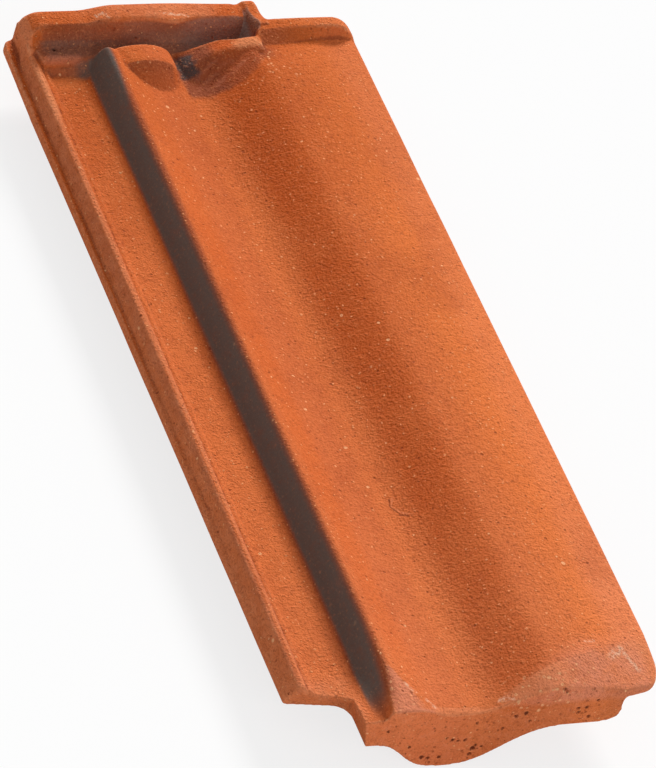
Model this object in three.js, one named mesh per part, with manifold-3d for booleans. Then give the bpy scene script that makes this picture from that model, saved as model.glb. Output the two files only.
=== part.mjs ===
// Narrow interlocking clay pan tile: one pressed and fired piece.
// Frame: +Z up, millimetres. X runs across the tile (side-lock flange at -X, covering roll at +X),
// Y runs up the roof slope (tail at -Y, head at +Y). The origin is the centre of the bounding box's
// base, the level of the batten nibs and of the tail nose's belly, on which the tile lies flat.
import * as THREE from 'three';
import { mergeVertices } from 'three/addons/utils/BufferGeometryUtils.js';
import Module from 'manifold-3d';

const wasm = await Module();
wasm.setup();

// ---------------------------------------------------------------- driving dimensions
// Lengths across the tile are measured from the flange's outer edge, or back from the roll's edge
// where the name ends in IN. Lengths along it are measured from the tail's end face, or back from
// the head's end face where the name ends in BACK. Heights are above the level the tile rests on.
const LENGTH = 396;              // tail face to head face
const WIDTH = 145;               // flange edge to roll edge

const FLANGE_UNDER = 14;         // underside of the side-lock flange
const FLANGE_FLARE = 2.7;        // how much wider the flange's ribs stand at the head than at the tail
const LEDGE_TOP = 19;            // thin outer ledge
const LEDGE_WIDTH = 1.7;
const RIB_TOP = 26.3;            // side-lock rib
const RIB_FROM = 4.4;
const RIB_TO = 7.2;
const BEAD_TOP = 24.5;           // small bead on the rib's inner foot
const CHANNEL_FLOOR = 22.5;      // flat side-lock channel
const CHANNEL_FROM = 11.5;
const CHANNEL_TO = 25;

const LIP_X = 35.6;              // the pan's standing lip beside the channel
const LIP_TOP = 36;
const TROUGH_X = 63;             // lowest line of the pan
const TROUGH_TOP = 28;
const TROUGH_FLAT = 4.5;         // flat either side of the lowest and highest lines
const CREST_IN = 40;             // highest line of the roll
const CREST_TOP = 41;
const EDGE_TOP = 35.5;           // roll's outer edge
const EDGE_THICKNESS = 6.8;
const WALL = 11.5;               // general thickness of the pressed clay

const NOSE_X = 60;               // belly of the nose under the tail
const NOSE_RIGHT_IN = 16.5;      // the nose stops short of the roll's edge
const NOSE_THICK = 12;           // along the tile, at the belly
const NOSE_DRAFT = 5;            // extra thickness at its root
const NOTCH_X = 25.4;            // tail corner cut away beside the flange
const NOTCH_Y = 22;
const NOTCH_R = 8;
const EAR_TOP = 26.8;            // the channel's inner side lifts to this at the tail
const EAR_RUN = 32;
const BEVEL_TROUGH = 3;          // width of the tail's worn top bevel in the trough,
const BEVEL_LIP = 19;            // how much wider it grows over the lip
const BEVEL_ROLL = 22.5;         // and over the roll
const CORNER_R = 13;             // roll's tail corner, in plan

const HEAD_FLOOR = 28;           // floor of the head-lock channel
const HEAD_STEP_BACK = 28.5;     // foot of the ramp up from the side channel
const HEAD_STEP_RUN = 6.3;
const PAN_END_BACK = 25;         // the pan's head edge
const HEAD_RIB_BACK = 15.5;      // foot of the head rib
const HEAD_RIB_TOP = 36;
const HEAD_RIB_RISE = 2.9;       // the rib stands this much higher away from the flange
const HEAD_RIB_LEFT = 5;
const HEAD_WALL_IN = 38;         // wall that turns the rib's end towards the roll
const HEAD_WALL_THICK = 7;
const HEAD_CUT_BACK = 19;        // head corner beyond the roll is cut away to here
const ROLL_RIB_TOP = 43;          // rib that closes the roll at that cut
const ROLL_RIB_FOOT = 12;
const ROLL_DIP = 1.8;            // the roll sinks a little towards that rib's foot

const STOP_BACK = 34.5;          // top edges of the two overlap stops
const STOP_SLOPE = 0.58;         // their tail faces lean back
const STOP_LEFT = 50;            // middle of the small one
const STOP_LEFT_HALF = 15;
const STOP_LEFT_TOP = 36;

const NIB_BACK = 38;             // tail-facing batten faces of the nibs
const NIB_DEPTH = 15;
const NIB_WIDTH = 22;
const NIB_LEFT = 41;
const NIB_RIGHT_IN = 23;

const LOCK_RIB_IN = 8.5;         // drip rib under the roll's edge
const LOCK_RIB_LOW = 24;
const LOCK_RIB_WIDTH = 5;

// The same lines as positions on this tile.
const CREST_X = WIDTH - CREST_IN;
const NOSE_RIGHT = WIDTH - NOSE_RIGHT_IN;
const PAN_END = LENGTH - PAN_END_BACK;
const HEAD_STEP_Y = LENGTH - HEAD_STEP_BACK;
const HEAD_RIB_Y = LENGTH - HEAD_RIB_BACK;
const HEAD_WALL_X = WIDTH - HEAD_WALL_IN;
const HEAD_CUT_Y = LENGTH - HEAD_CUT_BACK;
const STOP_Y = LENGTH - STOP_BACK;
const NIB_Y = LENGTH - NIB_BACK;
const OVER = 2 * CREST_TOP;      // clear of everything, for cutters

// ---------------------------------------------------------------- helpers
const solid = (geometry) => {
  const bare = geometry.clone();
  bare.deleteAttribute('normal');
  bare.deleteAttribute('uv');
  const g = mergeVertices(bare.index ? bare.toNonIndexed() : bare, 1e-4);
  return new wasm.Manifold(new wasm.Mesh({
    numProp: 3,
    vertProperties: new Float32Array(g.attributes.position.array),
    triVerts: new Uint32Array(g.index.array),
  }));
};

// A profile drawn in X (across) and Z (up), run along the tile from y0 to y1.
const alongTile = (shape, y0, y1, shift = () => 0) => {
  const g = new THREE.ExtrudeGeometry(shape, { depth: y1 - y0, bevelEnabled: false, curveSegments: 6 });
  g.rotateX(Math.PI / 2);
  g.translate(0, y1, 0);
  const p = g.attributes.position;
  for (let i = 0; i < p.count; i++) p.setX(i, p.getX(i) + shift(p.getX(i), p.getY(i)));
  return solid(g);
};

// A plan outline drawn in X and Y, standing from z0 to z1.
const upright = (shape, z0, z1) => {
  const g = new THREE.ExtrudeGeometry(shape, { depth: z1 - z0, bevelEnabled: false, curveSegments: 10 });
  g.translate(0, 0, z0);
  return solid(g);
};

// A block whose surface is lofted: at(u, v, w) gives the point for u across, v along, w = 0 low, 1 high.
const loft = (nu, nv, at) => {
  const g = new THREE.BoxGeometry(1, 1, 1, nu, nv, 1);
  const p = g.attributes.position;
  for (let i = 0; i < p.count; i++) {
    p.setXYZ(i, ...at(p.getX(i) + 0.5, p.getY(i) + 0.5, p.getZ(i) + 0.5));
  }
  return solid(g);
};

// A block between a level and a surface drawn as rows of [y, z] across it, from x0 to x1.
const between = (x0, x1, nu, level, rows) => {
  const last = rows(x0).length - 1;
  return loft(nu, last, (u, v, w) => {
    const x = mix(x0, x1, u);
    const [y, z] = rows(x)[Math.round(v * last)];
    return [x, y, w ? Math.max(z, level(x)) : Math.min(z, level(x))];
  });
};

const mix = (a, b, t) => a + (b - a) * t;
const clamp01 = (t) => Math.min(1, Math.max(0, t));
const smooth = (t) => clamp01(t) ** 2 * (3 - 2 * clamp01(t));
const round = (t) => Math.sqrt(1 - (1 - clamp01(t)) ** 2);      // quarter circle, 0 to 1
const bump = (t) => Math.exp(-t * t);

// ---------------------------------------------------------------- the pan's curve and the section
// Top of the pan from lip to edge, as a height over x: down a gentle slope from the lip to the
// trough, up an S-curve to the crest of the roll and over to its edge.
const panTop = (x) => {
  const rise = (x - TROUGH_X - TROUGH_FLAT) / (CREST_X - TROUGH_X - 2 * TROUGH_FLAT);
  if (x < TROUGH_X) {
    return mix(LIP_TOP, TROUGH_TOP, Math.sin(clamp01((x - LIP_X) / (TROUGH_X - LIP_X)) * Math.PI / 2));
  }
  if (x < CREST_X) return mix(TROUGH_TOP, CREST_TOP, smooth(rise));
  return mix(CREST_TOP, EDGE_TOP, ((x - CREST_X) / (WIDTH - CREST_X)) ** 2);
};

// Top of the side channel from its floor up the fillet at the foot of the lip's wall.
const channelTop = (x) => CHANNEL_FLOOR + 5 * clamp01((x - CHANNEL_TO) / 6) ** 3;

// The flange's ribs run a little out of line with the tile: in at the tail, out at the head.
const flare = (x, y) => FLANGE_FLARE * (y / LENGTH - 0.5)
  * smooth((x - 0.8) / 0.8) * smooth((CHANNEL_FROM + 2 - x) / 3);

const span = (x0, x1, n, height) => Array.from({ length: n + 1 }, (_, i) => mix(x0, x1, i / n))
  .map((x) => new THREE.Vector2(x, height(x)));

const section = new THREE.Shape();
section.moveTo(0, FLANGE_UNDER + 1);
section.lineTo(0, LEDGE_TOP - 0.8);
section.quadraticCurveTo(0, LEDGE_TOP, 0.8, LEDGE_TOP);
section.lineTo(LEDGE_WIDTH, LEDGE_TOP - 0.3);
section.lineTo(RIB_FROM - 0.5, RIB_TOP - 1);
section.quadraticCurveTo(RIB_FROM, RIB_TOP, RIB_FROM + 1.2, RIB_TOP);
section.quadraticCurveTo(RIB_TO, RIB_TOP, RIB_TO + 0.4, BEAD_TOP + 0.2);
section.lineTo(RIB_TO + 0.8, BEAD_TOP - 0.5);
section.quadraticCurveTo(RIB_TO + 1.4, BEAD_TOP + 0.5, RIB_TO + 2.6, BEAD_TOP - 0.2);
section.quadraticCurveTo(CHANNEL_FROM - 1, BEAD_TOP - 1, CHANNEL_FROM, CHANNEL_FLOOR);
for (const p of span(CHANNEL_TO, CHANNEL_TO + 6, 8, channelTop)) section.lineTo(p.x, p.y);
section.lineTo(LIP_X - 1.6, LIP_TOP - 1.8);
section.quadraticCurveTo(LIP_X - 0.8, LIP_TOP + 0.1, LIP_X + 1.2, panTop(LIP_X + 1.2));
for (const p of span(LIP_X + 3, TROUGH_X - 1, 15, panTop)) section.lineTo(p.x, p.y);
for (const p of span(TROUGH_X + TROUGH_FLAT, CREST_X - TROUGH_FLAT, 24, panTop)) section.lineTo(p.x, p.y);
for (const p of span(CREST_X, WIDTH - 2, 18, panTop)) section.lineTo(p.x, p.y);
section.quadraticCurveTo(WIDTH, EDGE_TOP, WIDTH, EDGE_TOP - 2);
section.lineTo(WIDTH, EDGE_TOP - EDGE_THICKNESS + 1);
section.lineTo(WIDTH - 1, EDGE_TOP - EDGE_THICKNESS);
section.lineTo(NOSE_RIGHT - 3, EDGE_TOP - EDGE_THICKNESS + 0.4);
section.quadraticCurveTo(NOSE_RIGHT - 12, CREST_TOP - WALL, CREST_X, CREST_TOP - WALL);
const panUnder = (x) => panTop(x) - WALL - 0.6;
for (const p of span(CREST_X - 4, TROUGH_X + 4, 14, panUnder)) section.lineTo(p.x, p.y);
section.quadraticCurveTo(TROUGH_X - 6, TROUGH_TOP - WALL - 0.6, TROUGH_X - 13, TROUGH_TOP - WALL + 2.2);
section.bezierCurveTo(TROUGH_X - 20, LIP_TOP - WALL - 1, LIP_X + 2, FLANGE_UNDER + 7,
  LIP_X - 4, FLANGE_UNDER + 2);
section.quadraticCurveTo(LIP_X - 6, FLANGE_UNDER, LIP_X - 9, FLANGE_UNDER);
section.lineTo(1, FLANGE_UNDER);
section.closePath();

let tile = alongTile(section, 0, LENGTH, flare);

// ---------------------------------------------------------------- tail
// Nose under the tail: a drafted lip whose belly follows the pan of the tile below.
const belly = new THREE.Path();
belly.moveTo(NOTCH_X, FLANGE_UNDER);
belly.lineTo(NOTCH_X + 7, FLANGE_UNDER - 0.6);
belly.bezierCurveTo(NOTCH_X + 16, FLANGE_UNDER - 2.4, NOSE_X - 16, 0, NOSE_X - 2.5, 0);
belly.lineTo(NOSE_X + 4, 0);
belly.bezierCurveTo(NOSE_X + 20, 0.4, NOSE_X + 26, 17, CREST_X + 1, 17.2);
belly.lineTo(NOSE_RIGHT - 9, 17.4);
belly.quadraticCurveTo(NOSE_RIGHT, 17.6, NOSE_RIGHT, 23);
const noseShape = new THREE.Shape([
  ...belly.getPoints(14),
  new THREE.Vector2(NOSE_RIGHT, EDGE_TOP - 4), new THREE.Vector2(CREST_X, CREST_TOP - 6),
  new THREE.Vector2(TROUGH_X, TROUGH_TOP - 4), new THREE.Vector2(LIP_X, CHANNEL_FLOOR - 2),
  new THREE.Vector2(NOTCH_X, CHANNEL_FLOOR - 2),
]);
{
  const g = new THREE.ExtrudeGeometry(noseShape, { depth: NOSE_THICK + NOSE_DRAFT, bevelEnabled: false });
  g.rotateX(Math.PI / 2);
  g.translate(0, NOSE_THICK + NOSE_DRAFT, 0);
  const p = g.attributes.position;
  for (let i = 0; i < p.count; i++) {          // draft on the hidden, head-facing side
    if (p.getY(i) > 1) p.setY(i, NOSE_THICK + NOSE_DRAFT * clamp01(p.getZ(i) / FLANGE_UNDER));
  }
  tile = tile.add(solid(g));
}

// The channel's inner side lifts softly into the ear at the tail.
tile = tile.add(loft(16, 10, (u, v, w) => {
  const x = mix(CHANNEL_TO - 6, CHANNEL_TO + 6, u);
  const ear = smooth(2 * u) * (1 - smooth(v));
  const top = mix(channelTop(x), Math.max(EAR_TOP, channelTop(x)), ear) + 0.03;
  return [x, mix(0, EAR_RUN, v), w ? top : CHANNEL_FLOOR - 3];
}));

// Tail corner beside the flange is cut away, with a fillet into the ear.
const notch = new THREE.Shape();
notch.moveTo(-5, -5);
notch.lineTo(NOTCH_X, -5);
notch.lineTo(NOTCH_X, NOTCH_Y - NOTCH_R - 1);
notch.quadraticCurveTo(NOTCH_X, NOTCH_Y - 1, NOTCH_X - NOTCH_R, NOTCH_Y - 0.3);
notch.lineTo(-5, NOTCH_Y + 3);
notch.closePath();
tile = tile.subtract(upright(notch, -WALL, OVER));

// Bevel over the tail's top edge: wide at the lip and on the roll, narrow in the trough.
const bevelWidth = (x) => BEVEL_TROUGH + BEVEL_LIP * bump((x - LIP_X + 1) / 8)
  + BEVEL_ROLL * clamp01((x - TROUGH_X) / (WIDTH - TROUGH_X)) ** 1.4;
const bevelFront = (x) => {
  const inPan = mix(LIP_TOP - 4.8, TROUGH_TOP - 0.8, smooth((x - LIP_X - 8.4) / 14));
  const up = smooth((x - TROUGH_X - 2) / (CREST_X - TROUGH_X - 7));
  const onRoll = mix(TROUGH_TOP - 0.8, CREST_TOP - 3.4, up);
  return x < TROUGH_X ? inPan : onRoll - 0.16 * Math.max(0, x - CREST_X + 1);
};
tile = tile.subtract(loft(56, 5, (u, v, w) => {
  const x = mix(LIP_X - 3.5, WIDTH + 2, u);
  const y = mix(-3, bevelWidth(x) + 3, v);
  const surface = mix(bevelFront(x), panTop(x), y / bevelWidth(x));
  return [x, y, w ? OVER : surface];
}));

// Roll's tail corner rounded in plan.
const corner = new THREE.Shape();
corner.moveTo(WIDTH + 5, -5);
corner.lineTo(WIDTH + 5, CORNER_R);
corner.lineTo(WIDTH, CORNER_R);
corner.bezierCurveTo(WIDTH - 0.8, CORNER_R - 6, WIDTH - 3.4, 3.4, WIDTH - 7, 2.2);
corner.lineTo(NOSE_RIGHT + 0.5, 0.3);
corner.lineTo(NOSE_RIGHT + 0.5, -5);
corner.closePath();
tile = tile.subtract(upright(corner, -WALL, OVER));

// ---------------------------------------------------------------- head
const HEAD_UNDER = HEAD_FLOOR - 9;              // underside of the thickened head
const ledgeEnd = LEDGE_WIDTH + FLANGE_FLARE / 2;

// The pan ends in a steep rounded edge, and beyond it lies the level head-lock channel.
const panEnd = (x) => PAN_END - 3 * smooth((x - TROUGH_X - 20) / 9);
const edgeRow = (x, dy, t) => [panEnd(x) + dy, mix(HEAD_FLOOR, Math.max(panTop(x), HEAD_FLOOR), t)];
tile = tile.subtract(between(CHANNEL_FROM, HEAD_WALL_X, 46, () => OVER, (x) => [
  [panEnd(x) - 2.5, panTop(x) + 0.6], edgeRow(x, -0.8, 0.98), edgeRow(x, 0.3, 0.88), edgeRow(x, 1.4, 0.55),
  edgeRow(x, 2.2, 0.2), edgeRow(x, 3.4, 0), [LENGTH + 5, HEAD_FLOOR],
]));
tile = tile.subtract(between(HEAD_WALL_X - 1, HEAD_WALL_X + 8, 1, () => OVER, () => [
  [HEAD_CUT_Y, HEAD_FLOOR], [LENGTH + 5, HEAD_FLOOR],
]));

// The side channel ramps up to it, and its floor runs on under the head rib.
const floorRows = (outer) => [
  [HEAD_STEP_Y, CHANNEL_FLOOR - 0.1], [HEAD_STEP_Y + 0.16 * HEAD_STEP_RUN, CHANNEL_FLOOR + 0.6],
  [HEAD_STEP_Y + 0.7 * HEAD_STEP_RUN, HEAD_FLOOR - 1.4],
  [HEAD_STEP_Y + 0.92 * HEAD_STEP_RUN, HEAD_FLOOR - 0.3],
  [HEAD_STEP_Y + 1.15 * HEAD_STEP_RUN, HEAD_FLOOR], [LENGTH - 0.8, HEAD_FLOOR], [LENGTH, HEAD_FLOOR - 1],
].map(([y, z]) => [y, mix(LEDGE_TOP - 0.5, z, outer)]);
tile = tile.add(between(ledgeEnd, CHANNEL_FROM + 1, 14, () => FLANGE_UNDER + 1,
  (x) => floorRows(clamp01((x - ledgeEnd) / 2.6))
    .map(([y, z]) => [y + 7 * smooth((RIB_TO + 2.4 - x) / 2) * (LENGTH - y) / HEAD_STEP_BACK, z])));
tile = tile.add(between(CHANNEL_FROM, LIP_X + 6, 4, () => FLANGE_UNDER + 4, () => floorRows(1)));
tile = tile.add(between(LIP_X, HEAD_WALL_X, 4, () => HEAD_UNDER, () => floorRows(1).slice(3)));

// Head rib: round-ended over the flange, higher along the pan, its crest bulging once to the tail.
const ribTop = (x) => HEAD_RIB_TOP + HEAD_RIB_RISE * smooth((x - 28) / 16)
  - 1.5 * smooth((x - TROUGH_X) / (HEAD_WALL_X - TROUGH_X - 6)) - 0.7 * bump((x - HEAD_WALL_X + 8) / 1.6);
tile = tile.add(between(HEAD_RIB_LEFT, HEAD_WALL_X, 60, () => HEAD_UNDER, (x) => {
  const h = (ribTop(x) - HEAD_FLOOR) * round((x - HEAD_RIB_LEFT) / 8);
  const out = 2.6 * bump((x - TROUGH_X - 5) / 7);
  return [
    [-1, -0.2], [0, 0.06 * h], [1.2, 0.3 * h], [2.5 - out / 2, 0.7 * h], [3.5 - out, 0.9 * h],
    [4.8 - out, h], [HEAD_RIB_BACK - 6.5, 1.02 * h], [HEAD_RIB_BACK - 3.2, 0.99 * h],
    [HEAD_RIB_BACK - 1.4, 0.85 * h], [HEAD_RIB_BACK - 0.4, 0.6 * h], [HEAD_RIB_BACK, 0.2 * h],
  ].map(([y, z]) => [HEAD_RIB_Y + y, HEAD_FLOOR + z]);
}));

// Wall that carries the rib round to the roll, with a knob where they turn.
const wallAcross = [[-8.3, 0], [-7.3, 0.5], [-6.4, 0.85], [-5.2, 1],
  [-1.2, 1], [0, 0.93], [0.9, 0.65], [1.5, 0.1]];
const wallAlong = [[-3, 42.9], [0, 42.3], [3, 40.7], [6, 39.6], [9.5, 38.8], [HEAD_CUT_BACK - 5.5, 38.8],
  [HEAD_CUT_BACK - 2.5, 38.2], [HEAD_CUT_BACK - 0.9, 36.6], [HEAD_CUT_BACK, 33.5]];
tile = tile.add(loft(wallAcross.length - 1, wallAlong.length - 1, (u, v, w) => {
  const [dx, part] = wallAcross[Math.round(u * (wallAcross.length - 1))];
  const [dy, top] = wallAlong[Math.round(v * (wallAlong.length - 1))];
  return [HEAD_WALL_X + dx * HEAD_WALL_THICK / 7, HEAD_CUT_Y + dy,
    w ? mix(HEAD_FLOOR, top, part) : HEAD_UNDER];
}));

// Rib that closes the roll: a straight leaning tail face, a flat top, an end falling to the edge.
const ribFoot = (x) => HEAD_CUT_Y - ROLL_RIB_FOOT - 1.6 + 1.4 * clamp01((x - HEAD_WALL_X + 9) / 14)
  + 4.7 * clamp01((x - HEAD_WALL_X - 4) / 24);
const dip = (x) => mix(-0.2, ROLL_DIP * (1 - 0.5 * smooth((x - HEAD_WALL_X - 1) / 26)),
  smooth((x - HEAD_WALL_X + 14) / 6) * smooth((WIDTH - 3 - x) / 10));
const dipRow = (x, back, t) => [ribFoot(x) - back, panTop(x) - dip(x) * t + 0.3 * (1 - t)];
tile = tile.subtract(between(HEAD_WALL_X - 14, WIDTH - 2, 42, () => OVER, (x) => [
  dipRow(x, 20, 0), dipRow(x, 15, 0.2), dipRow(x, 10, 0.52), dipRow(x, 5, 0.82), dipRow(x, 0, 1),
  dipRow(x, -5.5, 1),
]));
const rollUnder = (x) => (x < HEAD_WALL_X + 1 ? HEAD_FLOOR - 1 : panTop(x) - 5);
tile = tile.add(between(HEAD_WALL_X - 9, WIDTH - 0.4, 44, rollUnder, (x) => {
  const pan = panTop(x) - Math.max(0, dip(x));
  const drop = 0.9 * clamp01((HEAD_WALL_X + 12 - x) / 15) ** 1.5
    + (ROLL_RIB_TOP - EDGE_TOP - 0.5) * clamp01((x - WIDTH + 12) / 11.6) ** 2.4;
  const top = mix(pan + 0.1, ROLL_RIB_TOP - drop, clamp01((x - HEAD_WALL_X + 9) / 3.5));
  const foot = ribFoot(x);
  const back = mix(panEnd(x) + 1.5, HEAD_CUT_Y + 1, smooth((x - HEAD_WALL_X + 8) / 4));
  const edge = Math.min(HEAD_CUT_Y - 5.6, back - 2.6);
  return [
    [foot - 0.8, pan - 0.4], [foot, pan + 0.05], [mix(foot, edge, 0.33), mix(pan, top, 0.34)],
    [mix(foot, edge, 0.67), mix(pan, top, 0.68)], [mix(foot, edge, 0.9), mix(pan, top, 0.91)],
    [edge, mix(pan, top, 0.985)], [edge + 0.8, top],
    [back - 1.8, top], [back - 0.9, top - 0.3], [back, top - 1.2],
  ];
}));

// Beyond that rib the head corner is cut away, and the flange's head corner is eased.
const headNotch = new THREE.Shape();
headNotch.moveTo(HEAD_WALL_X + 1.2, LENGTH + 5);
headNotch.lineTo(HEAD_WALL_X + 1.2, HEAD_CUT_Y + 5);
headNotch.quadraticCurveTo(HEAD_WALL_X + 1.4, HEAD_CUT_Y, HEAD_WALL_X + 7, HEAD_CUT_Y);
headNotch.lineTo(WIDTH - 4, HEAD_CUT_Y);
headNotch.quadraticCurveTo(WIDTH - 0.2, HEAD_CUT_Y, WIDTH, HEAD_CUT_Y - 5);
headNotch.lineTo(WIDTH + 5, HEAD_CUT_Y - 5);
headNotch.lineTo(WIDTH + 5, LENGTH + 5);
headNotch.closePath();
tile = tile.subtract(upright(headNotch, -WALL, OVER));
const flangeCorner = new THREE.Shape();
flangeCorner.moveTo(-5, LENGTH - 44);
flangeCorner.lineTo(0, LENGTH - 44);
flangeCorner.lineTo(1, LENGTH - 3.4);
flangeCorner.quadraticCurveTo(1.1, LENGTH - 0.8, 3.4, LENGTH - 0.3);
flangeCorner.lineTo(HEAD_RIB_LEFT, LENGTH + 0.5);
flangeCorner.lineTo(HEAD_RIB_LEFT, LENGTH + 5);
flangeCorner.lineTo(-5, LENGTH + 5);
flangeCorner.closePath();
tile = tile.subtract(upright(flangeCorner, -WALL, OVER));
const ledgeWidening = new THREE.Shape();
ledgeWidening.moveTo(-5, LENGTH - 18);
ledgeWidening.lineTo(ledgeEnd, LENGTH - 18);
ledgeWidening.quadraticCurveTo(HEAD_RIB_LEFT - 0.2, LENGTH - 12, HEAD_RIB_LEFT - 0.2, LENGTH - 7);
ledgeWidening.lineTo(HEAD_RIB_LEFT - 0.2, LENGTH + 5);
ledgeWidening.lineTo(-5, LENGTH + 5);
ledgeWidening.closePath();
tile = tile.subtract(upright(ledgeWidening, LEDGE_TOP - 0.3, OVER));

// Two overlap stops on the pan's head edge: arched across, their tail faces leaning back.
const underStop = (x) => Math.min(panTop(x) - 6, HEAD_FLOOR - 1);
const stop = (x0, x1, nu, arch, drop) => between(x0, x1, nu, underStop, (x) => {
  const pan = panTop(x);
  const top = arch(x);
  const run = Math.max(1, top - pan + 2.5) / STOP_SLOPE;
  const crest = STOP_Y + 2 * smooth((x - TROUGH_X - 7) / 8) - 2.6 * smooth((x - TROUGH_X - 27) / 10);
  const brow = top - drop * smooth((top - pan - 0.5) / 4);
  const low = Math.min(HEAD_FLOOR, brow) - 0.5;
  const end = panEnd(x);
  return [
    [crest - run, top - run * STOP_SLOPE], [crest - run / 2, top - run / 2 * STOP_SLOPE],
    [crest - 1.2, top - 0.75], [crest, top - 0.2], [crest + 1.4, top],
    [end - 1.1, brow], [end + 0.8, brow - 0.2],
    [end + 2.2, mix(low, brow, 0.7)], [end + 3.2, mix(low, brow, 0.3)], [end + 4, low],
  ];
});
const leftArch = (x) => mix(TROUGH_TOP - 0.4, STOP_LEFT_TOP,
  Math.sqrt(Math.max(0, 1 - ((x - STOP_LEFT) / STOP_LEFT_HALF) ** 2)));
tile = tile.add(stop(STOP_LEFT - STOP_LEFT_HALF, STOP_LEFT + STOP_LEFT_HALF, 26, leftArch, 0.4));
const stopFrom = TROUGH_X + 3.4;
const stopTo = CREST_X - 5;
const rightArch = (x) => mix(TROUGH_TOP - 0.6, CREST_TOP - 0.2,
  Math.sin(clamp01((x - stopFrom) / (stopTo - stopFrom)) * Math.PI / 2) ** 0.7);
tile = tile.add(stop(stopFrom, stopTo, 30, rightArch, 1.6));

// Blind nail mark in the head-lock channel's floor.
const nail = new THREE.CylinderGeometry(1.2, 0.7, 6, 16);
nail.rotateX(Math.PI / 2);
nail.translate(CHANNEL_FROM + 4.6, HEAD_RIB_Y - 1.7, HEAD_FLOOR);
tile = tile.subtract(solid(nail));

// ---------------------------------------------------------------- underside
// Batten nibs near the head, drafted, with flat feet level with the nose's belly.
for (const x0 of [NIB_LEFT, WIDTH - NIB_RIGHT_IN - NIB_WIDTH]) {
  tile = tile.add(loft(6, 1, (u, v, w) => {
    const x = mix(x0 - 2 * w, x0 + NIB_WIDTH + 2 * w, u);
    return [x, mix(NIB_Y, NIB_Y + NIB_DEPTH + 3 * w, v), w ? Math.min(panTop(x), HEAD_FLOOR + 4) - 6 : 0];
  }));
}

// Drip rib under the roll's edge, which drops into the next tile's side channel.
const lockRib = new THREE.Shape();
lockRib.moveTo(-LOCK_RIB_WIDTH / 2 - 1, EDGE_TOP - EDGE_THICKNESS + 2);
lockRib.lineTo(-LOCK_RIB_WIDTH / 2, LOCK_RIB_LOW + 1);
lockRib.quadraticCurveTo(0, LOCK_RIB_LOW - 1, LOCK_RIB_WIDTH / 2, LOCK_RIB_LOW + 1);
lockRib.lineTo(LOCK_RIB_WIDTH / 2 + 1, EDGE_TOP - EDGE_THICKNESS + 2);
lockRib.closePath();
tile = tile.add(alongTile(lockRib, NOTCH_Y + LOCK_RIB_WIDTH, HEAD_CUT_Y - 2 * LOCK_RIB_WIDTH,
  () => WIDTH - LOCK_RIB_IN));

// ---------------------------------------------------------------- mesh
const out = tile.getMesh();
const geometry = new THREE.BufferGeometry();
geometry.setAttribute('position', new THREE.BufferAttribute(new Float32Array(out.vertProperties), 3));
geometry.setIndex(new THREE.BufferAttribute(new Uint32Array(out.triVerts), 1));
geometry.computeVertexNormals();

const clay = new THREE.MeshStandardMaterial({ color: 0xc96a3b, roughness: 0.88, metalness: 0 });
const body = new THREE.Mesh(geometry, clay);
body.name = 'tile_body';
body.position.set(-WIDTH / 2, -LENGTH / 2, 0);

const group = new THREE.Group();
group.add(body);
export default group;
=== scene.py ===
import math

import bmesh
import bpy
import numpy as np
from mathutils import Matrix, Vector, noise


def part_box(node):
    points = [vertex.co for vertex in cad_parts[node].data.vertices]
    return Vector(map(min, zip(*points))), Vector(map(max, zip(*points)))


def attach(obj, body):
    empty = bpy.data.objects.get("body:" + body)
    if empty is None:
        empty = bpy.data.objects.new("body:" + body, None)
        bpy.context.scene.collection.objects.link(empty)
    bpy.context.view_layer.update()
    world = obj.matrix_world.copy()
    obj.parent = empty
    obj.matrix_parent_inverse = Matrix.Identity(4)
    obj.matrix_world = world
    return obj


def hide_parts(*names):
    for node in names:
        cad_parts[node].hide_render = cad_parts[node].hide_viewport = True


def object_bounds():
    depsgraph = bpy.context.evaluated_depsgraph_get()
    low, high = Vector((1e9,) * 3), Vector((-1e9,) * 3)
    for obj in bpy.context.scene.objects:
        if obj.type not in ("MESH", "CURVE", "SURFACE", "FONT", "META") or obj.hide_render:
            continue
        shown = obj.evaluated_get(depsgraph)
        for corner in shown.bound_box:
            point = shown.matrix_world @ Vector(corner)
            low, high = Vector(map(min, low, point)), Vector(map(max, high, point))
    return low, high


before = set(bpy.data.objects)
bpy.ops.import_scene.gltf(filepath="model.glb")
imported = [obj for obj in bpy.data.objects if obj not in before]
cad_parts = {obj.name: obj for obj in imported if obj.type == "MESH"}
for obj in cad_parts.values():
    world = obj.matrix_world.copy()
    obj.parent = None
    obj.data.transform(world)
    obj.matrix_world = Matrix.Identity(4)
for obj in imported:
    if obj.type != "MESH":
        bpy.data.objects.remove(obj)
solid_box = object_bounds()

# ---------------------------------------------------------------- the pressed clay tile
# One piece of clay, pressed between two moulds and fired once, without glaze. The press leaves
# every arris a little rounded and the faces a hair out of true. Sand, lime grains and burst pores
# show all over it, chalk dust lies on the bevelled tail, and what faces the lock is painted grey and brown
# as shade.
MM = 0.001
FINE_CLAY = 0.5 * MM             # spacing of the first, even mesh
SMOOTHING = 9                    # rounds that soften the arrises
WORN_SMOOTHING = 34              # further rounds on the roll's worn tail corner
WORN_CORNER = (86, 26, 24)       # which lies past this x and z, and tailwards of this y, in mm
FILLS = [                        # low and high corners in mm, and how far the tail's lower edge is up
    ((101, 358, 25), (124, 376, 31), 0),         # over the right-hand batten nib
    ((98, 358, 25), (101.5, 371, 29), 0),        # and over its inner edge
    ((84, 365, 20), (101.5, 374.5, 28), 7),      # under the pan's end and the lock's floor
]
TRIANGLES = 192000
WARP = 0.12 * MM                 # how far the faces wander from true
WARP_LENGTH = 34 * MM            # and over what length
END_DRAFT = 3.6 * MM             # how far the cut beside the flange leans out tailwards
SIDE_DRAFT = 3.0 * MM            # and sideways
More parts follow.
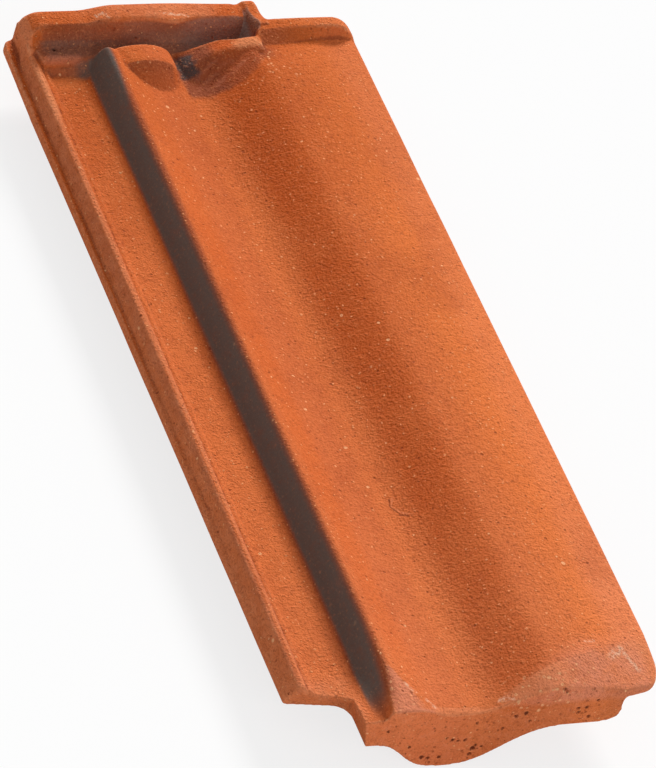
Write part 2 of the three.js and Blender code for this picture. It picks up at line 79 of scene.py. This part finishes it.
PITS = [                         # burst pits in the tail's end: x, z, radius and depth in mm
    (50.7, 5.5, 1.2, 0.8), (53.4, 4.7, 1.0, 0.7), (57.9, 4.8, 0.9, 0.5), (44.1, 11.7, 0.8, 0.4),
    (58.7, 15, 0.7, 0.5), (61.1, 13.8, 0.9, 0.6), (63.8, 12.9, 0.9, 0.6), (66.6, 13.1, 0.9, 0.6),
    (70.9, 8.2, 1.3, 0.8), (71.6, 10, 0.8, 0.5), (70.4, 5.2, 1.0, 0.7), (74.4, 9, 0.8, 0.5),
    (69.1, 22.1, 0.8, 0.5), (84.5, 24.2, 1.1, 0.8), (88.3, 25.5, 1.1, 0.7), (90.8, 20.9, 0.8, 0.4),
    (80.5, 18.1, 0.8, 0.5), (109.7, 25.8, 0.9, 0.6), (110.3, 23.6, 0.9, 0.5), (113.4, 26.1, 1.0, 0.6),
    (115.3, 21, 0.9, 0.5), (33, 21.4, 0.8, 0.5), (116.9, 29.6, 0.8, 0.4),
    (100.4, 37.3, 0.9, 0.8), (101.4, 36.5, 1.0, 0.9), (102.5, 35.6, 0.9, 0.8),
]

left, tail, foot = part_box("tile_body")[0]


def shaped(obj, kind, **settings):
    """Runs one modifier on obj and keeps its result as obj's own mesh."""
    modifier = obj.modifiers.new(kind.lower(), kind)
    for name, value in settings.items():
        setattr(modifier, name, value)
    graph = bpy.context.evaluated_depsgraph_get()
    result = bpy.data.meshes.new_from_object(obj.evaluated_get(graph))
    obj.modifiers.clear()
    obj.data = result


def points(mesh):
    flat = np.empty(len(mesh.vertices) * 3, np.float32)
    mesh.vertices.foreach_get("co", flat)
    return flat.reshape(-1, 3)


def normals(mesh):
    flat = np.empty(len(mesh.vertices) * 3, np.float32)
    mesh.vertex_normals.foreach_get("vector", flat)
    return flat.reshape(-1, 3)


# The clay is solid over the batten nib and in the corner where the pan meets the lock's floor.
# The filling blocks lie inside it, and the even mesh makes them one with the rest.
lump = bmesh.new()
lump.from_mesh(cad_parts["tile_body"].data)
for low, high, rise in FILLS:
    block = bmesh.ops.create_cube(lump, size=1)["verts"]
    for corner in block:
        at_tail, at_foot = corner.co.y < 0, corner.co.z < 0
        part = [(near, far)[side > 0] for near, far, side in zip(low, high, corner.co)]
        part[2] += rise if at_tail and at_foot else 0
        corner.co = Vector((left, tail, 0)) + Vector(part) * MM
pressed = bpy.data.meshes.new("pressed")
lump.to_mesh(pressed)
lump.free()
tile = bpy.data.objects.new("fired_tile", pressed)
bpy.context.scene.collection.objects.link(tile)
shaped(tile, "REMESH", mode="VOXEL", voxel_size=FINE_CLAY, adaptivity=0)
shaped(tile, "SMOOTH", factor=0.5, iterations=SMOOTHING)

# The mould's edge has worn where the roll's bevel meets the end, so that corner is softer still.
worn_x, worn_y, worn_z = np.array((left, tail, 0)) + np.array(WORN_CORNER) * MM
at = points(tile.data)
soft = np.nonzero((at[:, 0] > worn_x) & (at[:, 1] < worn_y) & (at[:, 2] > worn_z))[0]
tile.vertex_groups.new(name="worn_corner").add(soft.tolist(), 1.0, "REPLACE")
shaped(tile, "SMOOTH", factor=0.5, iterations=WORN_SMOOTHING, vertex_group="worn_corner")
tile.vertex_groups.clear()

at = points(tile.data)
out = normals(tile.data)
for pit_x, pit_z, radius, depth in PITS:
    pit = np.array((left, tail, 0)) + np.array((pit_x, 0, pit_z)) * MM
    near = 1 - ((at - pit) ** 2).sum(1) / (radius * MM) ** 2
    at -= out * (np.clip(near, 0, 1) ** 0.8 * depth * MM)[:, None]
wander = np.array([noise.noise(Vector(p) / WARP_LENGTH) for p in at.tolist()], np.float32)
at += out * (wander * WARP)[:, None]


def graded(value, start, end):
    """Evenly from 0 at start to 1 at end; start may be the larger."""
    return np.clip((value - start) / (end - start), 0, 1)


# The cut beside the flange has draft: its upper edge stands out over its foot, tailwards on the
# flange's end and sideways on the ear beside it.
across, back, high = ((at - np.array((left, tail, 0))) / MM).T
over_end = graded(high, 14, 22.5) * graded(across, 29, 23) * graded(back, 10, 18) * graded(back, 30, 22)
over_side = graded(high, 14, 26.5) * graded(across, 14, 22) * graded(across, 31, 26) * graded(back, 28, 20)
at[:, 1] -= over_end * END_DRAFT
at[:, 0] -= over_side * SIDE_DRAFT
at = np.clip(at, np.array(solid_box[0]), np.array(solid_box[1]))
tile.data.vertices.foreach_set("co", at.ravel())
tile.data.update()
count = sum(len(face.vertices) - 2 for face in tile.data.polygons)
shaped(tile, "DECIMATE", ratio=TRIANGLES / count)
tile.data.polygons.foreach_set("use_smooth", [True] * len(tile.data.polygons))


def turn_of(mesh):
    """How sharply the surface turns at each vertex, per millimetre: above 0 on an arris."""
    ends = np.empty(len(mesh.edges) * 2, np.int32)
    mesh.edges.foreach_get("vertices", ends)
    one, other = ends.reshape(-1, 2).T
    where, out = points(mesh), normals(mesh)
    span = where[one] - where[other]
    bend = ((out[one] - out[other]) * span).sum(1) / np.maximum((span**2).sum(1), 1e-12) * MM
    size = len(where)
    meets = np.bincount(one, minlength=size) + np.bincount(other, minlength=size)
    turn = (np.bincount(one, bend, size) + np.bincount(other, bend, size)) / meets
    for _ in range(3):
        near = np.bincount(one, turn[other], size) + np.bincount(other, turn[one], size)
        turn = (turn + near / meets) / 2
    return turn.astype(np.float32)


tile.data.attributes.new("turn", "FLOAT", "POINT").data.foreach_set("value", turn_of(tile.data))


class Wire:
    """An output in a material's nodes. Sums with it add Math nodes; node() adds any other node."""

    def __init__(self, tree, socket=None):
        self.tree = tree
        self.socket = socket

    def node(self, kind, settings, sockets, output=0):
        made = self.tree.nodes.new("ShaderNode" + kind)
        for name, value in settings.items():
            setattr(made, name, value)
        for name, value in sockets.items():
            if isinstance(value, Wire):
                self.tree.links.new(value.socket, made.inputs[name])
            else:
                made.inputs[name].default_value = value
        return Wire(self.tree, made.outputs[output] if made.outputs else None)

    def also(self, output):
        """Another output of the node that this one belongs to."""
        return Wire(self.tree, self.socket.node.outputs[output])

    def math(self, operation, *values):
        return self.node("Math", {"operation": operation}, dict(enumerate(values)))

    def __add__(self, other):
        return self.math("ADD", self, other)

    def __sub__(self, other):
        return self.math("SUBTRACT", self, other)

    def __rsub__(self, other):
        return self.math("SUBTRACT", other, self)

    def __mul__(self, other):
        return self.math("MULTIPLY", self, other)

    __radd__ = __add__
    __rmul__ = __mul__


def rgb(red, green, blue):
    """A colour given as it looks on a screen, 0 to 255, as the linear values that nodes take."""
    linear = [(c / 255 + 0.055) / 1.055 for c in (red, green, blue)]
    return tuple(c**2.4 for c in linear) + (1.0,)


def new_material(name):
    material = bpy.data.materials.new(name)
    material.use_nodes = True
    material.node_tree.nodes.clear()
    return material, Wire(material.node_tree)


clay, wire = new_material("fired_clay")
place = wire.node("TexCoord", {}, {}, "Object")
facing = wire.node("SeparateXYZ", {}, {"Vector": place.also("Normal")})
turn = wire.node("Attribute", {"attribute_name": "turn"}, {}, "Fac")


def step(value, start, end):
    """Smoothly from 0 at start to 1 at end; start may be the larger."""
    return wire.node("MapRange", {"interpolation_type": "SMOOTHSTEP"},
                     {"Value": value, "From Min": start, "From Max": end})


def between(value, start, full, fading, gone):
    return step(value, start, full) * step(value, gone, fading)


def most(*masks):
    """The strongest of several masks at each place."""
    mask = masks[0]
    for other in masks[1:]:
        mask = wire.math("MAXIMUM", mask, other)
    return mask


def blend(first, second, mask):
    return wire.node("Mix", {"data_type": "RGBA"}, {0: mask, 6: first, 7: second}, 2)


def painted(base, *coats):
    """The base under its coats, laid in turn: each a colour as it looks on a screen, and its mask."""
    for colour, mask in coats:
        base = blend(base, rgb(*colour), mask)
    return base


def grain(size, detail=2, rough=0.5, vector=place):
    """Noise between 0 and 1 with lumps of about that size in millimetres."""
    return wire.node("TexNoise", {}, {"Vector": vector, "Scale": 1 / (size * MM), "Detail": detail,
                                      "Roughness": rough})


def shaken(size, far):
    """The pattern's own places, shaken so that drawn shapes come out ragged."""
    lumps = grain(size, 1.0).also("Color")
    centred = wire.node("VectorMath", {"operation": "SUBTRACT"}, {0: lumps, 1: (0.5, 0.5, 0.5)})
    shake = wire.node("VectorMath", {"operation": "SCALE"}, {0: centred, "Scale": far * MM})
    return wire.node("VectorMath", {"operation": "ADD"}, {0: place, 1: shake})


ragged = shaken(1.3, 0.8)
torn = shaken(1.0, 1.5)
wavy = wire.node("SeparateXYZ", {}, {"Vector": shaken(4.5, 4.0)})


def grains(spacing, radius, soft=0.12):
    """Specks up to that radius, at that spacing in millimetres: 1 inside, 0 outside."""
    cells = wire.node("TexVoronoi", {}, {"Vector": ragged, "Scale": 1 / (spacing * MM)}, "Distance")
    pick = wire.node("SeparateXYZ", {}, {"Vector": cells.also("Color")})
    return step(cells * spacing + pick * radius, radius + soft, radius - soft)


where = wire.node("SeparateXYZ", {}, {"Vector": place})
x = (where - left) * (1 / MM)                    # from the side lock's edge
y = (where.also("Y") - tail) * (1 / MM)          # from the tail
z = where.also("Z") * (1 / MM)                   # from the floor
wavy_x = (wavy - left) * (1 / MM)
wavy_y = (wavy.also("Y") - tail) * (1 / MM)


def streak(x0, y0, x1, y1, wide):
    """A scuff between two places on the upper side, ragged and broken along its way."""
    run, rise = x1 - x0, y1 - y0
    share = ((wavy_x - x0) * run + (wavy_y - y0) * rise) * (1 / (run**2 + rise**2))
    share = wire.node("Clamp", {}, {"Value": share})
    off_x = wavy_x - x0 - share * run
    off_y = wavy_y - y0 - share * rise
    away = wire.math("SQRT", off_x * off_x + off_y * off_y)
    return step(away, wide * 1.3, wide * 0.3)


faces_left = facing * -1
faces_tail = facing.also("Y") * -1
faces_up = facing.also("Z")
upper_side = step(faces_up, -0.25, 0.0)

# Fired colour: paler at the tail, in the side channel and along the roll, palest on the roll's outer edge,
# and cloudy all over. Painted light lifts the trough, a painted highlight lies on the rib's top, and
# painted shade darkens the rib's outer side and deepens the roll's rising side.
tail_half = step(y, 315, 235)
cloud = grain(42, 4, 0.6)
mottle = grain(5, 4, 0.65)
roll = step(x, 98, 128) * (0.32 + 0.38 * tail_half)
side_channel = between(x, 7, 10, 22, 26) * tail_half
trough = between(x, 60, 68, 72, 82)
lip_foot = between(x, 46, 52, 60, 67)
roll_edge = step(x, 122, 136) * (0.2 + 0.25 * step(y, 110, 50))
rib_top = between(x, 4.6, 5.4, 6.8, 7.6) * upper_side
rib_side = between(x, 2.6, 3.2, 4.2, 5.0) * upper_side
rising_side = between(x, 74, 82, 92, 102) * step(z, 26, 29)
lip_back = between(x, 38.5, 42, 46, 53) * between(y, 4, 30, 290, 330)
colour = painted(
    blend(rgb(212, 109, 57), rgb(202, 96, 39), step(y, 40, 400)),
    ((238, 127, 61), roll),
    ((230, 120, 62), side_channel * 0.75),
    ((232, 126, 68), trough * 0.3),
    ((206, 106, 62), lip_foot * 0.3),
    ((234, 140, 100), roll_edge),
    ((246, 150, 104), rib_top * 0.4),
    ((186, 96, 60), rib_side * 0.5),
    ((196, 82, 18), rising_side * 0.5),
    ((214, 99, 38), lip_back * 0.45),
    ((222, 118, 62), step(cloud, 0.5, 0.75) * 0.4),
    ((178, 80, 36), step(cloud, 0.5, 0.25) * 0.45),
    ((226, 122, 66), step(mottle, 0.52, 0.8) * 0.35),
    ((168, 74, 34), step(mottle, 0.48, 0.2) * 0.4))

# Chalk dust: thick on the bevel beside the lip and over the roll's tail, and thin on the bevel
# between them, the end face, the flange's end and outer slope and the head rib; on the outer slope,
# which turns from the key lamp, the pale coat is also painted light. The bead's head end and the
# right stop's top are rubbed pale, and the end face is warmer at the left and darker at the right.
dust = grain(7, 4, 0.65)
fray = (dust - 0.5) * 14
bevel = step(faces_tail, 0.06, 0.2) * step(faces_up, 0.1, 0.4) * step(y, 34, 18)
beside_lip = bevel * between(x, 32, 35, 47, 54)
roll_tail = step(y + fray + 16 * step(x, 118, 84), 27, 11) * between(x, 76, 90, 137, 142) * step(z, 28, 33)
roll_tail = roll_tail * (1 - 0.2 * between(x, 116, 124, 130, 136) * step(y, 20, 14))
end_face = step(faces_tail, 0.5, 0.8) * step(y, 6, 2)
# dust and painted light on the flange's outer slope, which faces away from the key lamp
outer_slope = step(faces_left, 0.2, 0.5) * step(x, 8, 5)
flange_end = step(y + fray * 0.4, 32, 22) * step(x, 27, 21)
crest = between(y, 382, 386, 391, 395) * step(z, 33, 36) * between(x + fray, 20, 52, 84, 92)
stop_top = between(y, 361, 364, 367, 370) * between(x + fray, 86, 91, 98, 102) * step(z, 36, 38)
bead = between(x, 4.5, 6, 8, 9.5) * between(y + fray, 330, 350, 366, 374)
thick = most(beside_lip * 0.9, roll_tail * (0.5 + 0.5 * step(dust, 0.35, 0.6)))
thin = most(bevel, end_face * 0.45, outer_slope * 0.95, crest, flange_end)
thin = thin * (0.4 + 0.6 * step(dust, 0.35, 0.65))
colour = painted(
    colour,
    ((240, 146, 98), step(y, 120, 10) * step(faces_up, 0.5, 0.8) * 0.1),
    ((230, 141, 97), thin * 0.5),
    ((230, 141, 107), thick * 0.8),
    ((250, 166, 114), most(bead * 0.5, stop_top * 0.7) * 0.7),
    ((254, 140, 88), end_face * step(x, 84, 44) * 0.42),
    ((150, 80, 50), end_face * step(x, 114, 126) * 0.28),
    ((254, 154, 102), bevel * between(x, 48, 54, 100, 108) * 0.36))

# Worn arrises are paler, and hollows are painted darker as shade.
worn = step(turn, 0.04, 0.35) * step(grain(3, 3), 0.32, 0.58) * (0.35 + 0.65 * step(y, 24, 34))
colour = painted(
    colour,
    ((232, 148, 104), worn * 0.6),
    ((140, 62, 36), step(turn, -0.03, -0.3) * 0.6))

# Painted brown shade on the head lock, the tail faces of the stops and of the roll's rib, and a
# painted cast shadow on the pan before the right stop, crossed by a few paler strokes.
lock_wall = step(faces_tail, 0.2, 0.5) * between(y, 374, 379, 387, 391) * step(z, 38.2, 36.5)
lock_floor = between(y, 370.5, 375, 382, 386) * step(z, 31.5, 29.5)
in_lock = step(x + fray, 6, 15) * step(x, 102, 98) * step(z, 25, 27)
stop_face = step(faces_tail, 0.2, 0.35) * between(y, 342, 347, 366, 370)
left_stop = stop_face * between(x, 34, 38, 60, 63)
right_stop = stop_face * between(x, 62, 65, 96, 102)
rib_face = step(faces_tail, 0.12, 0.3) * between(y, 359, 363, 376, 379) * between(x, 96, 99, 136, 143)
# the right stop's painted cast shadow on the pan before it
reach = wavy_y - 11 * step(wavy_x, 84, 102)
before = step(reach, 343.5, 347) * step(y, 366, 361) * between(wavy_x, 64, 67, 99, 108)
before = most(before, between(x, 64, 67, 77, 83) * between(y, 352, 356, 370, 373))
brown_shade = most(lock_wall * in_lock * (0.55 - 0.15 * step(x, 40, 52)), lock_floor * in_lock * 0.35,
               left_stop * (0.3 + 0.3 * step(y, 352, 361)), right_stop * (0.55 - 0.45 * step(x, 74, 84)),
               rib_face * (0.55 - 0.35 * step(x, 104, 122)),
               before * (0.88 - 0.35 * step(wavy_x, 76, 88)))
brown_shade = brown_shade * (0.85 + 0.15 * step(mottle, 0.35, 0.65)) * upper_side
strokes = most(streak(71, 351, 85, 359, 1.6), streak(75, 349, 91, 357, 1.3), streak(70, 356, 82, 362, 1.0))
colour = painted(
    colour,
    ((128, 66, 46), brown_shade),
    ((206, 122, 90), strokes * step(mottle, 0.35, 0.55) * 0.3))

# Painted grey shade on the lip's lock side, over a browner painted shade at its edge and above a foot
# painted paler as light, in the head lock, on the wall that turns it to the roll, beside the right
# stop and on the ramp at the lip's head.
narrow = step(y, 44, 4) * 1.6
broad = step(y, 330, 366) * 1.8
wall = between(x + narrow, 28.0, 29.6, 33.2 + broad, 35.4 + broad) * step(y, 2, 18) * step(y, 375, 371)
shade_edge = between(x - step(y, 200, 280), 26.5, 28.8, 34.4, 38.0) * step(y, 0, 14) * step(y, 374, 366)
painted_light_foot = between(x, 22, 24, 26.5, 28.5) * between(y, 190, 270, 345, 360)
low = step(z + fray * 0.4, 36, 31)
head = lock_wall * (0.12 * step(x + fray, 14, 30) + 0.25 * step(x + fray, 40, 52) + 0.2 * low)
head = most(head, lock_floor * 0.55) * in_lock
turned = step(faces_left, 0.2, 0.5) * between(x, 94, 97, 101.5, 104) * between(y, 371, 375, 385, 390)
lock_grey_shade = most(lock_floor, lock_wall * 0.6) * in_lock * step(x, 66, 80) * 0.45
ramp = between(x, 12, 28, 29, 31) * between(y, 364, 367, 371, 374)
ramp = ramp * (0.35 + 0.5 * step(x, 22, 26))
stop_side_shade = between(wavy_x, 64.5, 66.5, 71, 73.5) * between(wavy_y, 355.5, 359, 367, 371) * upper_side
grey_shade = most(wall, head, ramp) * upper_side * (0.85 + 0.15 * step(dust, 0.3, 0.5))
colour = painted(
    colour,
    ((148, 73, 45), shade_edge * upper_side * 0.8),
    ((240, 126, 66), painted_light_foot * 0.45),
    ((106, 94, 87), grey_shade),
    ((150, 132, 124), most(turned, lock_grey_shade)),
    ((150, 86, 58), turned * step(z, 34, 38) * 0.85),
    ((70, 66, 65), stop_side_shade * 0.92))

# The ramp up from the side channel: painted light on its edge at the lock's floor and on its foot, and
# painted shade on its face between.
ramp_wide = between(x, 8, 12, 24, 28) * upper_side
colour = painted(
    colour,
    ((236, 140, 106), ramp_wide * between(y, 370.5, 372, 374, 376) * 0.38),
    ((150, 96, 74), ramp_wide * between(y, 366.5, 368.5, 370, 371.5) * 0.4),
    ((255, 140, 76), ramp_wide * between(y, 357, 362, 366, 368) * 0.45))

# White scuffs from handling, and a short curved crack in the roll's rising side.
SCUFFS = [                       # from x, y to x, y, and how wide, in mm
    (41, 12.5, 44, 9.5, 1.0), (48.5, 6, 51, 3, 1.2), (77, 3.6, 82, 2.4, 1.0), (116, 21, 120, 20, 0.5),
    (125, 14, 131, 17, 1.7), (131, 17, 135.5, 9, 1.1), (37.5, 389, 40, 386, 0.7),
    (35.4, 387.4, 39, 388, 0.7), (64, 386.4, 75, 385, 0.9),
]
CRACK_CENTRE = (79, 109)         # the crack is a short arc round this place
rubbed = grain(1.4, 3, 0.7)
scuffs = most(*[streak(*scuff) for scuff in SCUFFS]) * step(rubbed, 0.38, 0.6) * upper_side
from_x, from_y = wavy_x - CRACK_CENTRE[0], wavy_y - CRACK_CENTRE[1]
away = wire.math("SQRT", from_x * from_x + from_y * from_y)
bow = step(x, 77.2, 75.8) * step(y, 113.4, 112) * upper_side
crack = between(away, 7.8, 8.2, 8.4, 8.8) * bow * step(rubbed, 0.3, 0.5)
crack_lip = between(away, 6.6, 7.2, 7.5, 8.0) * bow * step(rubbed, 0.35, 0.6)
colour = painted(
    colour,
    ((246, 200, 168), scuffs * 0.65),
    ((236, 150, 104), crack_lip * 0.5),
    ((118, 50, 26), crack * 0.8))

# Sand, pores, lime grains and crumbs. The end face is blotched and its burst pits are dark.
# grain and specks are fainter under the painted shade
quiet = 1 - 0.6 * wall
clean = (1 - 0.85 * wall) * (1 - 0.8 * brown_shade)
sand = grain(0.9, 2, 0.6)
coarse = grain(1.8, 3, 0.6)
blotch = grain(3.2, 4, 0.7)
pits = []
for pit_x, pit_z, radius, _ in PITS:
    centre = (left + pit_x * MM, tail, pit_z * MM)
    off = wire.node("VectorMath", {"operation": "DISTANCE"}, {0: torn, 1: centre}, "Value") * (1 / MM)
    pits.append(step(off, radius * 1.1, radius * 0.5))
pores = most(grains(3.4, 0.55, 0.2) * quiet, grains(3.0, 0.6, 0.2) * end_face)
lime = grains(2.5, 0.5, 0.13) * clean
white = most(grains(10, 0.8, 0.2), grains(6, 0.5, 0.13)) * clean
knobs = grains(1.7, 0.7, 0.3)
crumbed = most(between(x, 76, 84, 100, 112) * step(y + fray, 12, 5) * step(z, 26, 30), beside_lip * 0.6,
               between(x, 92, 98, 104, 112) * between(y, 335, 345, 360, 366))
crumbs = grains(2.1, 0.75, 0.2) * crumbed
colour = painted(
    colour,
    ((150, 66, 32), step(sand, 0.5, 0.25) * 0.32 * quiet),
    ((236, 142, 88), step(sand, 0.52, 0.78) * 0.28 * quiet),
    ((150, 66, 32), step(coarse, 0.47, 0.25) * 0.25 * quiet),
    ((236, 142, 88), step(coarse, 0.53, 0.75) * 0.22 * quiet),
    ((142, 62, 34), step(blotch, 0.5, 0.28) * end_face * 0.28),
    ((232, 138, 98), step(blotch, 0.5, 0.72) * end_face * 0.4),
    ((246, 166, 112), lime * 0.7),
    ((138, 56, 28), pores * 0.6),
    ((92, 38, 20), most(*pits) * 0.85),
    ((250, 188, 136), most(white, crumbs * 0.9) * 0.72))

# Sand, knobs and lime stand out and pores lie in. The flange, the side channel and the end face are
# rougher than the rest, the lip and the trough smoother, and the lip's lock side, under its painted shade,
# smoother still.
rough = 1.5 + 0.5 * step(x, 27, 23) - 0.45 * between(x, 34, 40, 66, 80) + 0.4 * end_face
relief = (0.32 * (sand - 0.5) + 0.44 * (coarse - 0.5) + 0.16 * knobs) * rough * quiet
relief = relief + 0.2 * lime - 0.3 * pores
bump = wire.node("Bump", {}, {"Strength": 1.0, "Distance": MM, "Height": relief})
shader = wire.node("BsdfPrincipled", {}, {"Base Color": colour, "Roughness": 0.8 + 0.15 * mottle,
                                          "Specular IOR Level": 0.1, "Normal": bump})
wire.node("OutputMaterial", {}, {"Surface": shader})
tile.data.materials.append(clay)

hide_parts("tile_body")
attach(tile, "root")

# ---------------------------------------------------------------- floor and light
# A wide pale floor that the tile lies on, an even white sky, a soft key lamp beyond the head and
# a weak, wide fill from the tail's side.
FLOOR_SIZE = 12.0
FLOOR_SHADE = 0.9
FLOOR_GAP = 0.2 * MM             # between the floor and the tile's lowest faces
SHADOW_SHARE = 0.22              # how much of the shadow on the floor is kept

floor_mesh = bpy.data.meshes.new("floor")
half = FLOOR_SIZE / 2
corners = [(-half, -half, 0), (half, -half, 0), (half, half, 0), (-half, half, 0)]
floor_mesh.from_pydata(corners, [], [(0, 1, 2, 3)])
floor = bpy.data.objects.new("floor", floor_mesh)
floor.location.z = foot - FLOOR_GAP
bpy.context.scene.collection.objects.link(floor)

paper, wire = new_material("floor_paper")
matt = wire.node("BsdfDiffuse", {}, {"Color": (FLOOR_SHADE, FLOOR_SHADE, FLOOR_SHADE, 1)})
glow = wire.node("Emission", {}, {"Color": (1, 1, 1, 1), "Strength": 1.0})
seen = wire.node("LightPath", {}, {}, "Is Camera Ray") * (1 - SHADOW_SHARE)
wire.node("OutputMaterial", {}, {"Surface": wire.node("MixShader", {}, {0: seen, 1: matt, 2: glow})})
floor_mesh.materials.append(paper)

SKY = 0.36
world = bpy.data.worlds.new("studio")
bpy.context.scene.world = world
world.use_nodes = True
world.node_tree.nodes.clear()
wire = Wire(world.node_tree)
seen, glossy, through = [wire.node("LightPath", {}, {}, f"Is {ray} Ray")
                         for ray in ("Camera", "Glossy", "Transmission")]
white_to = wire.math("MAXIMUM", seen, wire.math("MAXIMUM", glossy, through))
strength = SKY + (1 - SKY) * white_to
sky = wire.node("Background", {}, {"Color": (1, 1, 1, 1), "Strength": strength})
wire.node("OutputWorld", {}, {"Surface": sky})


def soft_lamp(name, way, spread, level):
    """A distant soft lamp towards way; level 1 shows a face turned to it as its colour is written."""
    way = Vector(way).normalized()
    lamp_data = bpy.data.lights.new(name, "SUN")
    lamp_data.angle = math.radians(spread)
    lamp_data.energy = math.pi * level
    lamp = bpy.data.objects.new(name, lamp_data)
    lamp.location = way
    lamp.rotation_mode = "QUATERNION"
    lamp.rotation_quaternion = way.to_track_quat("Z", "Y")
    bpy.context.scene.collection.objects.link(lamp)


soft_lamp("key_lamp", (0.75, 1.7, 1.0), 14, 1.12)
soft_lamp("fill_lamp", (0.25, -1.0, 0.5), 40, 0.29)

# ---------------------------------------------------------------- camera
# It stands off the tail's left corner, looks down at the tile and is rolled a little.
CAMERA_AZIMUTH = math.radians(-31.2)
CAMERA_ELEVATION = math.radians(40.56)
CAMERA_ROLL = math.radians(18.28)
CAMERA_DISTANCE = 2.4716
CAMERA_AIM = Vector((0.0004, -0.0129, 0.020))
SENSOR_WIDTH = 36                # on the long side, in mm like the focal length
FOCAL_LENGTH = 295.3

camera_data = bpy.data.cameras.new("camera")
camera_data.lens = FOCAL_LENGTH
camera_data.sensor_width = SENSOR_WIDTH
camera_data.clip_start = 0.1
camera = bpy.data.objects.new("camera", camera_data)
bpy.context.scene.collection.objects.link(camera)
bpy.context.scene.camera = camera
flat = math.cos(CAMERA_ELEVATION)
outward = Vector((math.sin(CAMERA_AZIMUTH) * flat, -math.cos(CAMERA_AZIMUTH) * flat,
                  math.sin(CAMERA_ELEVATION)))
level_right = Vector((0, 0, 1)).cross(outward).normalized()
level_up = outward.cross(level_right)
right = level_right * math.cos(CAMERA_ROLL) + level_up * math.sin(CAMERA_ROLL)
up = outward.cross(right)
camera.matrix_world = Matrix.Translation(CAMERA_AIM + outward * CAMERA_DISTANCE) @ Matrix(
    (right, up, outward)).transposed().to_4x4()

bpy.context.scene.view_settings.view_transform = "Standard"
